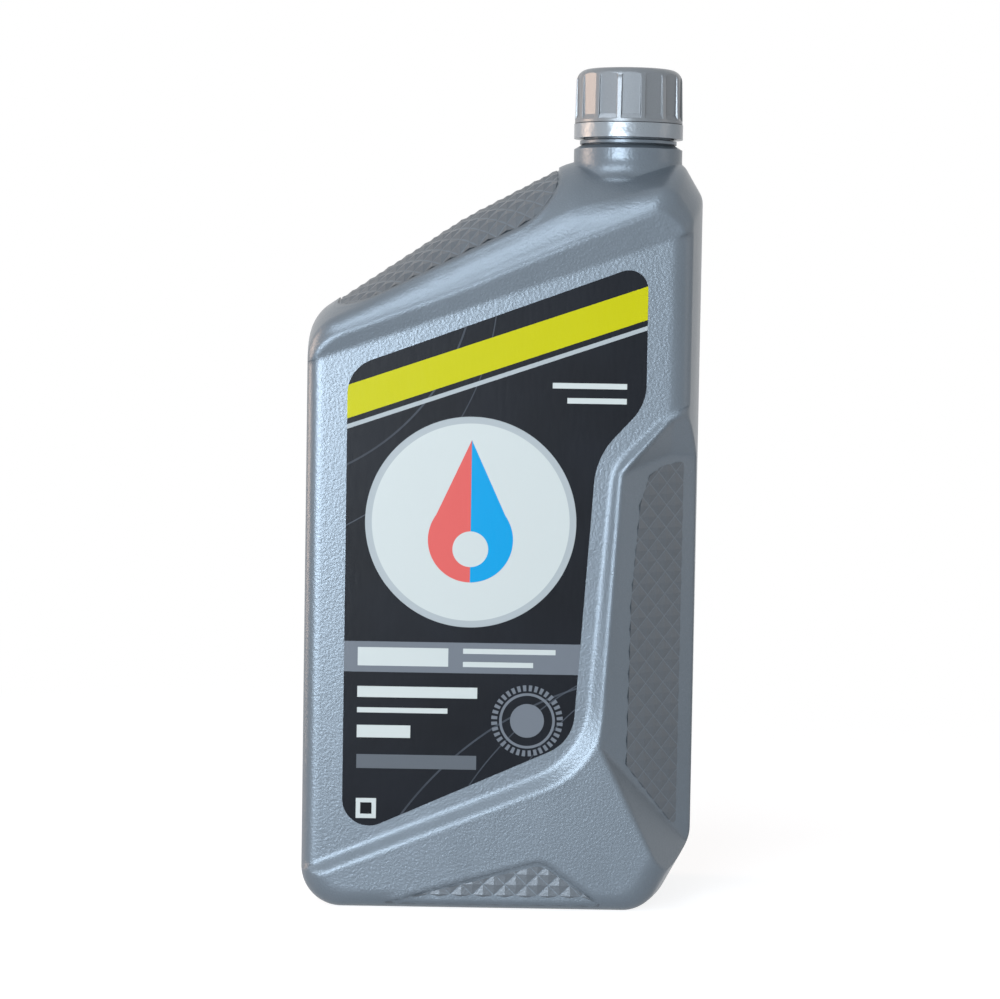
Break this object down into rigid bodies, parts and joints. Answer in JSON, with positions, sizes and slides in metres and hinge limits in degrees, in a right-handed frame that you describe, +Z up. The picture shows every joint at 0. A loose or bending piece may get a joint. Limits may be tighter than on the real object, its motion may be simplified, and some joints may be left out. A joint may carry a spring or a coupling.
{
  "type": "motor oil bottle",
  "caption": "Tall flat-sided moulded plastic motor oil bottle with a slanted shoulder, an offset fluted screw cap, a tamper band, a sunk front label and slanted side grips.",
  "frame": {"origin": "centre of the base, on the surface that the bottle stands on", "axes": "+Z up, -Y towards the front with the label, +X towards the side with the neck and the grip"},
  "size_m": [0.108, 0.059, 0.2295],
  "materials": {
    "bottle_plastic": "pearl silver-grey, satin with a fine grain",
    "oil": "clear amber liquid",
    "cap_plastic": "pearl silver-grey, satin",
    "wad_foam": "white foam",
    "band_plastic": "pearl silver-grey, smooth",
    "label_film": "printed film"
  },
  "bodies": {
    "bottle": {"bottle": "bottle_plastic", "oil_fill": "oil", "tamper_band": "band_plastic", "front_label": "label_film"},
    "liner": {"cap_wad": "wad_foam"},
    "cap": {"cap": "cap_plastic"}
  },
  "joints": [
    {"name": "cap_lift", "type": "slide", "parent": "bottle", "child": "liner", "axis": [0, 0, 1], "range_m": [0, 0.0169]},
    {"name": "cap_turn", "type": "hinge", "parent": "liner", "child": "cap", "pos_m": [0.0332, 0, 0.2146], "axis": [0, 0, 1], "range_deg": [0, 1440]}
  ],
  "couplings": [
    {"joint": "cap_lift", "follows": "cap_turn", "m_per_rad": 0.00066845}
  ]
}
